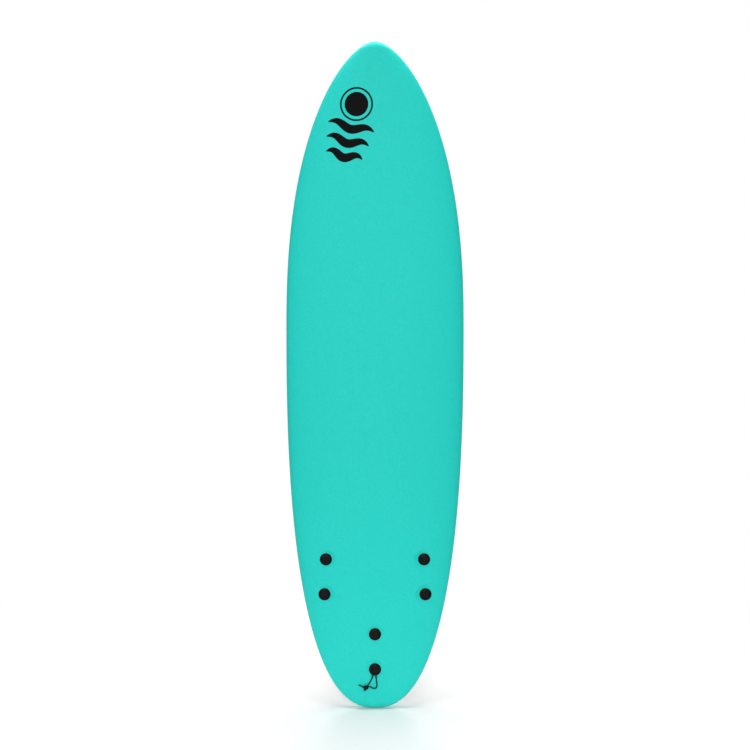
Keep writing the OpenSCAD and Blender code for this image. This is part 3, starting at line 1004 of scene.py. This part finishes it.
def blade_point(v, s, side):
    lead = two_part(LEAD_ROOT, LEAD_TIP, v, 0.8)
    trail = two_part(TRAIL_ROOT, TRAIL_TIP, v, 0.6)
    p = lead + (trail - lead) * s
    half = (ROOT_T + (TIP_T - ROOT_T) * v) / 2 * (1 - abs(2 * s - 1) ** 2.5) ** 0.5
    return np.array([side * half * min(1, 6 * (1 - v)), p[0], -p[1]])


def plate_point(depth, s, side):
    y = PLATE_ENDS[1] + (PLATE_ENDS[0] - PLATE_ENDS[1]) * s
    inset = min(PLATE_R, PLATE_ENDS[1] - y, y - PLATE_ENDS[0])
    return np.array([side * math.sqrt(PLATE_R ** 2 - (PLATE_R - inset) ** 2), y, -depth])


def chord_share(k):
    """Share of the chord at point k of a ring, which runs back on one side and home again."""
    step = k if k < CHORD else 2 * CHORD - k
    return (1 - math.cos(math.pi * step / CHORD)) / 2


def fin_ring(v, keep, depth):
    """A ring of the fin at height v, with a share of the base plate's shape kept in it."""
    out = []
    for k in range(2 * CHORD):
        side = 1 if k < CHORD else -1
        s = chord_share(k)
        out.append(blade_point(v, s, side) * (1 - keep) + plate_point(depth, s, side) * keep)
    return out


def flare_rows():
    """The flared base in fine steps: straight up the plate's edge, then a smooth curve."""
    rows = [fin_ring(0, 1, 0), fin_ring(0, 1, 0.5), fin_ring(FLARE_STEP, 1, 1.9)]
    curve = smooth_path([np.array([FLARE_STEP * k, *FLARE[k]]) for k in range(1, len(FLARE))], 5)
    return rows + [fin_ring(v, max(0, keep), depth) for v, keep, depth in curve]


def panel_kind(v, s):
    """1 on the satin panel that is let into the blade, inside its polished edge."""
    return 1 if 0.17 < v < 0.90 and 0.16 < s < 0.84 else 0


def post(side, end):
    """One fixing post with its bore, from inside the base plate to its open end."""
    p = BOLTS[(side, end)]
    profile = [(0, POST_START), (POST_R, POST_START), (POST_R, POST_TOP - 0.8),
               (POST_R - 0.8, POST_TOP), (BORE_R, POST_TOP), (BORE_R, BORE_FLOOR),
               (0, BORE_FLOOR)]
    points, faces = lathe([(a * MM, b * MM) for a, b in profile], 48)
    return points + [p[0], p[1], fin_plane_z(side, p[1])], faces


def blade():
    """Blade and flared base, upright under the base: points, faces and material numbers."""
    rows = flare_rows()
    levels = [0.0] * len(rows)
    for v in np.linspace(FLARE_TOP, 1, BLADE_ROWS + 1)[1:]:
        rows.append(fin_ring(v, 0, 0))
        levels.append(v)
    n = 2 * CHORD
    faces = grid_faces(len(rows), n, closed=True)
    kinds = [panel_kind(levels[f[0] // n], chord_share(f[0] % n)) for f in faces] + [0] * n
    points = np.array(rows).reshape(-1, 3) * MM
    base = len(points)
    faces = [f[::-1] for f in faces] + [(base, k, (k + 1) % n) for k in range(n)]
    return np.concatenate([points, [[0, -PLATE_MIDDLE * MM, 0]]]), faces, kinds


def turned(points, angle, a, b):
    """The points turned by an angle from axis a towards axis b."""
    c, s = math.cos(angle), math.sin(angle)
    out = points.copy()
    out[:, a] = points[:, a] * c - points[:, b] * s
    out[:, b] = points[:, a] * s + points[:, b] * c
    return out


def set_fin(points, side):
    """Leans a fin out, tilts it with the bottom, toes it in and moves it to its place."""
    y = FIN_Y[side]
    out = points.copy()
    out[:, 0] -= out[:, 2] * math.tan(side * CANT)
    out = turned(turned(out, -slope_at(y), 1, 2), side * TOE, 0, 1)
    return out + [side * SIDE_FIN_X, y, fin_plane_z(side, y)]


def make_fin(name, gloss, satin):
    side = SIDES[name]
    points, faces, kinds = blade()
    points = set_fin(points, side)
    for end in ENDS.values():
        more, more_faces = post(side, end)
        faces += [tuple(k + len(points) for k in f) for f in more_faces]
        kinds += [0] * len(more_faces)
        points = np.concatenate([points, more])
    points, faces, kept = weld(points, faces, 7)
    mesh_piece("fin_moulding_" + name, stand(points), faces, [gloss, satin], "fin_" + name,
               kinds=[kinds[k] for k in kept], sharp=42,
               nodes=("fin_" + name,))


# ---- Prints ----
PRINT_LIFT = 0.15 * MM
# Strokes: heights are shares of the stripe's height, and the length is a share of the pitch
MARK_PITCH = 57 * MM
STROKE_LONG = 0.74
STROKE_HALF = 0.11
STROKE_WAVE = 0.11
STROKE_APART = 0.2
LEAST_ROOM = 8 * MM
EDGE_ROOM = 50 * MM
NOSE_ROOM = 60 * MM
# Nose motif, in mm about its own middle. Waves: height and half length of each
SUN_UP = 74
SUN_R = 38
RING_R = 50
RING_HALF = 2.8
WAVES = ((2, 76), (-44, 70), (-90, 60))
WAVE_SWELL = 8
WAVE_HALF = 13.5
MOTIF_AT = (-77 * MM, LENGTH - 268 * MM)
MOTIF_LEAN = math.radians(-14)


def strip(line, half, across):
    """Points and faces of a ribbon along a line of points, with its half width at each."""
    line = np.array(line)
    tangent = np.gradient(line, axis=0)
    if np.allclose(line[0], line[-1]):
        tangent[0] = tangent[-1] = line[1] - line[-2]
    tangent /= np.linalg.norm(tangent, axis=1)[:, None]
    normal = np.stack([-tangent[:, 1], tangent[:, 0]], 1)
    points = [line[i] + normal[i] * half[i] * w for i in range(len(line))
              for w in np.linspace(-1, 1, across)]
    return points, [f[::-1] for f in grid_faces(len(line), across)]


def band(radius, half, count, across):
    """A round band about the sun's middle."""
    angles = [2 * math.pi * t for t in np.linspace(0, 1, count)]
    line = [(radius * math.cos(a), SUN_UP + radius * math.sin(a)) for a in angles]
    return strip(line, [half] * count, across)


def wave(height, long):
    """A line of one and a half swells that tapers to its ends."""
    ts = np.linspace(0, 1, 110)
    line = [(long * (2 * t - 1), height + WAVE_SWELL * math.sin(3 * math.pi * t)) for t in ts]
    return strip(line, [0.4 + WAVE_HALF * math.sin(math.pi * t) ** 0.7 for t in ts], 7)


def motif_shapes():
    """A sun in a ring, over three waves."""
    sun = band(SUN_R / 2, SUN_R / 2 - 0.1, 90, 8)
    return [sun, band(RING_R, RING_HALF, 120, 3)] + [wave(*w) for w in WAVES]


def stroke_places():
    """Number, place across and height of the white stripe, for each pair of strokes."""
    for k in range(-1, int(LENGTH / STRIPE_PITCH) + 2):
        for m in range(-5, 6):
            x = STRIPE_MIDDLE + m * MARK_PITCH
            low, high = (float(stripe_y(stripe_edge(2 * k + e), x)) for e in (0, 1))
            y = (low + high) / 2
            on_board = EDGE_ROOM < y < LENGTH - NOSE_ROOM
            if high - low >= LEAST_ROOM and on_board and abs(x) < float(half_w(y)) - EDGE_ROOM:
                yield k, x, high - low


def wavy_stroke(k, mid_x, offset, room):
    """A ribbon that follows white stripe k, waves twice and tapers to its ends."""
    line, half = [], []
    for t in np.linspace(0, 1, 22):
        x = mid_x + STROKE_LONG * MARK_PITCH * (t - 0.5)
        level = float(stripe_y((k + WHITE_SHARE / 2) * STRIPE_PITCH, x))
        line.append((x, level + room * (offset + STROKE_WAVE * math.sin(4 * math.pi * t))))
        half.append(STROKE_HALF * room * math.sin(math.pi * t) ** 0.5 + 0.05 * MM)
    return strip(line, half, 2)


def make_bottom_print(ink):
    """Pairs of small wavy strokes, evenly spaced along the wider white stripes."""
    points, faces = [], []
    for k, x, room in stroke_places():
        for offset in (-STROKE_APART, STROKE_APART):
            shape, shape_faces = wavy_stroke(k, x, offset, room)
            faces += [tuple(i + len(points) for i in f[::-1]) for f in shape_faces]
            points += [(px, py, float(bottom_z(py)) - PRINT_LIFT) for px, py in shape]
    mesh_piece("bottom_print", stand(points), faces, [ink], "board")


def make_nose_print(ink):
    c, s = math.cos(MOTIF_LEAN), math.sin(MOTIF_LEAN)
    points, faces = [], []
    for shape, shape_faces in motif_shapes():
        faces += [tuple(k + len(points) for k in f) for f in shape_faces]
        for px, py in shape:
            x = MOTIF_AT[0] + (px * c - py * s) * MM
            y = MOTIF_AT[1] + (px * s + py * c) * MM
            points.append((x, y, float(deck_z(x, y)) + PRINT_LIFT))
    mesh_piece("nose_print", stand(points), faces, [ink], "board")


# ---- Studio ----
# The camera sees white all round, and the board is lit by less of it
BOUNCE = 0.33
LIGHTS = {"front": ((-0.3, -4.4, 2.0), 2.0, 104), "back": ((0.3, 4.4, 2.2), 2.2, 98),
          "top": ((0, 0, 4.6), 2.4, 150)}
LIGHT_AIM = (0, 0, 1.0)
FLOOR_R = 60
FLOOR_WHITE = (0.3, 2.2)  # the floor goes over to white between these radii


def make_world():
    world = bpy.data.worlds.new("studio")
    bpy.context.scene.world = world
    world.use_nodes = True
    nodes, links = tree(world)
    seen = nodes.new("ShaderNodeBackground")
    mix = nodes.new("ShaderNodeMixShader")
    for slot, back, strength in ((1, nodes["Background"], BOUNCE), (2, seen, 1.0)):
        back.inputs["Color"].default_value = (1, 1, 1, 1)
        back.inputs["Strength"].default_value = strength
        links.new(back.outputs["Background"], mix.inputs[slot])
    path = nodes.new("ShaderNodeLightPath")
    links.new(path.outputs["Is Camera Ray"], mix.inputs["Fac"])
    links.new(mix.outputs["Shader"], nodes["World Output"].inputs["Surface"])


def make_light(name, place, size, power):
    light = bpy.data.objects.new(name + "_light", bpy.data.lights.new(name, "AREA"))
    light.data.size = size
    light.data.energy = power
    light.location = place
    aim = np.array(LIGHT_AIM) - np.array(place)
    light.rotation_euler = (math.atan2(math.hypot(aim[0], aim[1]), -aim[2]), 0,
                            math.atan2(aim[0], -aim[1]) + math.pi)
    light.visible_camera = False
    bpy.context.scene.collection.objects.link(light)


def make_studio():
    bpy.context.scene.view_settings.view_transform = "Standard"
    make_world()
    make_floor(floor_material())
    for name, (place, size, power) in LIGHTS.items():
        make_light(name, place, size, power)


def glow_shader(nodes, links):
    """White light that is weaker for all but the camera."""
    path = nodes.new("ShaderNodeLightPath")
    glow = nodes.new("ShaderNodeMixShader")
    for slot, strength in ((1, BOUNCE), (2, 1.0)):
        light = nodes.new("ShaderNodeEmission")
        light.inputs["Strength"].default_value = strength
        links.new(light.outputs["Emission"], glow.inputs[slot])
    links.new(path.outputs["Is Camera Ray"], glow.inputs["Fac"])
    return glow


def floor_material():
    """Pale paper that runs out to white, as a lit studio sweep does."""
    m, shader = material("floor_paper", (0.90, 0.90, 0.90), 0.9, 0.1)
    nodes, links = tree(m)
    blend_colours(m, shader, noise(m, 3, 3), (0.88, 0.88, 0.88), (0.91, 0.91, 0.91))
    place = nodes.new("ShaderNodeTexCoord")
    far = nodes.new("ShaderNodeVectorMath")
    far.operation = "LENGTH"
    span = nodes.new("ShaderNodeMapRange")
    span.interpolation_type = "SMOOTHSTEP"
    span.inputs["From Min"].default_value, span.inputs["From Max"].default_value = FLOOR_WHITE
    mix = nodes.new("ShaderNodeMixShader")
    links.new(place.outputs["Object"], far.inputs[0])
    links.new(far.outputs["Value"], span.inputs["Value"])
    links.new(span.outputs["Result"], mix.inputs["Fac"])
    links.new(shader.outputs["BSDF"], mix.inputs[1])
    links.new(glow_shader(nodes, links).outputs["Shader"], mix.inputs[2])
    links.new(mix.outputs["Shader"], nodes["Material Output"].inputs["Surface"])
    return m


def make_floor(paper):
    """A disc round the board's tip, with rings that are closer near the middle."""
    rings, sides = 40, 96
    angles = [2 * math.pi * j / sides for j in range(sides)]
    points = [(0, 0, 0)]
    for k in range(1, rings + 1):
        r = FLOOR_R * (k / rings) ** 2.2
        points += [(r * math.cos(a), r * math.sin(a), 0) for a in angles]
    faces = [(0, 1 + j, 1 + (j + 1) % sides) for j in range(sides)]
    faces += [(a, d, c, b) for a, b, c, d in grid_faces(rings, sides, closed=True, start=1)]
    floor = new_object("floor", points, faces)
    floor.data.materials.append(paper)


def finish_nodes(named):
    """Gives the CAD nodes that stay their materials, by how their names start."""
    for start, m in named.items():
        for name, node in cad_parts.items():
            if name.startswith(start):
                node.data.materials.clear()
                node.data.materials.append(m)


place_camera()
make_leash(cord_material())
make_deck_skin(foam_skin_material())
make_bottom_skin(film_material("film_white", (0.86, 0.86, 0.84), (0.92, 0.92, 0.90), 0.25),
                 film_material("film_black", (0.002, 0.002, 0.002), (0.004, 0.004, 0.004), 0.05))
washer_black = moulded_material("washer_nylon", (0.003, 0.003, 0.0035), 0.22, 0.36)
screw_black = moulded_material("screw_nylon", (0.005, 0.005, 0.0055), 0.30, 0.46)
fin_gloss = moulded_material("fin_gloss", (0.004, 0.004, 0.0045), 0.14, 0.24)
fin_satin = moulded_material("fin_satin", (0.004, 0.004, 0.0045), 0.30, 0.42, 900, 0.00006)
for fin_side in SIDES:
    make_fin(fin_side, fin_gloss, fin_satin)
    for fin_end in ENDS:
        make_washer(fin_side, fin_end, washer_black)
        make_screw(fin_side, fin_end, screw_black)
print_ink = ink_material()
make_nose_print(print_ink)
make_bottom_print(print_ink)
finish_nodes({"core_": bead_foam_material(), "stringer_": wood_material(),
              "sleeve_": sleeve_material(), "insert_": brass_material()})
make_studio()
